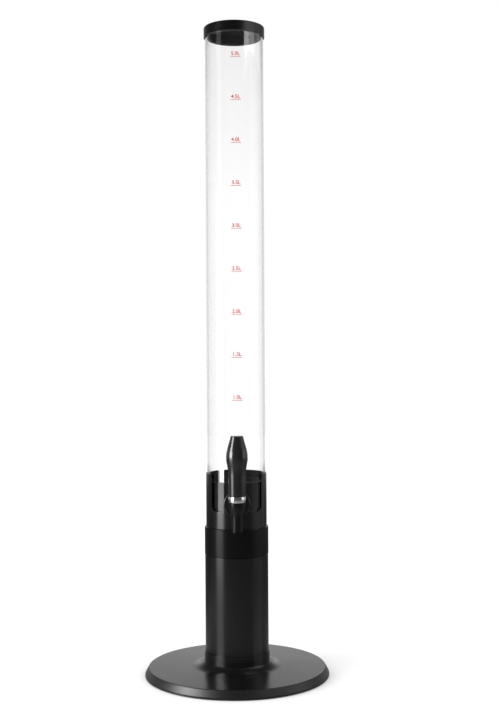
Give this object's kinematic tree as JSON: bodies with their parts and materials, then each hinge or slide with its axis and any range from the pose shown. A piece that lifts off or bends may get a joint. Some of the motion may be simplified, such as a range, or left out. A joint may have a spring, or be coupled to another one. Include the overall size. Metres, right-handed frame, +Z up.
{
  "type": "beer tower dispenser",
  "caption": "Table beer tower: a clear tube with a push-on lid and a self-closing lever tap, standing in a windowed sleeve on a column with a round weighted base.",
  "frame": {"origin": "on the floor under the tower's axis, at the level of the rubber feet", "axes": "+Z up along the tower, -Y towards the user on the tap's side, +X to the user's right"},
  "size_m": [0.315, 0.315, 1.1093],
  "materials": {
    "base_black": "satin black moulded plastic",
    "column_black": "semi-gloss black plastic",
    "gloss_black": "polished black plastic",
    "plug_black": "fine moulded black plastic",
    "clear_acrylic": "clear polished acrylic",
    "chrome": "bright chrome plating",
    "black_rubber": "soft matt rubber",
    "silicone": "translucent white silicone",
    "ballast_steel": "primed steel plate",
    "cover_plastic": "grained black plastic sheet",
    "stainless": "plain stainless steel"
  },
  "bodies": {
    "stand": {"base_shell": "base_black", "base_cover": "cover_plastic", "cover_screws": "stainless", "rubber_feet": "black_rubber", "ballast_plate": "ballast_steel", "column_foot": "plug_black", "column_screws": "stainless", "column_tube": "column_black", "coupling_ring": "column_black", "sleeve": "column_black", "tube_cushion": "black_rubber"},
    "vessel": {"tube": "clear_acrylic", "tube_plug": "plug_black", "plug_seal": "black_rubber", "tap_shank": "stainless", "shank_seal": "black_rubber", "saddle_gasket": "black_rubber", "tap_flange": "gloss_black", "tap_body": "gloss_black", "bonnet": "chrome", "stem_seal": "black_rubber", "gland_washer": "stainless", "return_spring": "stainless"},
    "lid": {"lid": "gloss_black"},
    "valve": {"valve_stem": "stainless", "seat_cup": "silicone"},
    "handle": {"handle": "gloss_black", "handle_pin": "stainless"}
  },
  "joints": [
    {"name": "tube_lift", "type": "slide", "parent": "stand", "child": "vessel", "axis": [0, 0, 1], "range_m": [0, 0.1]},
    {"name": "lid_lift", "type": "slide", "parent": "vessel", "child": "lid", "axis": [0, 0, 1], "range_m": [0, 0.045]},
    {"name": "stem_lift", "type": "slide", "parent": "vessel", "child": "valve", "axis": [0, 0, 1], "range_m": [0, 0.0058], "deforming": ["return_spring"]},
    {"name": "handle_tilt", "type": "hinge", "parent": "valve", "child": "handle", "pos_m": [0, -0.08245, 0.3233], "axis": [1, 0, 0], "range_deg": [0, 25], "stiffness_Nm_per_rad": 0.8, "springref_deg": -22.92}
  ],
  "couplings": [
    {"joint": "stem_lift", "follows": "handle_tilt", "m_per_rad": 0.013}
  ]
}
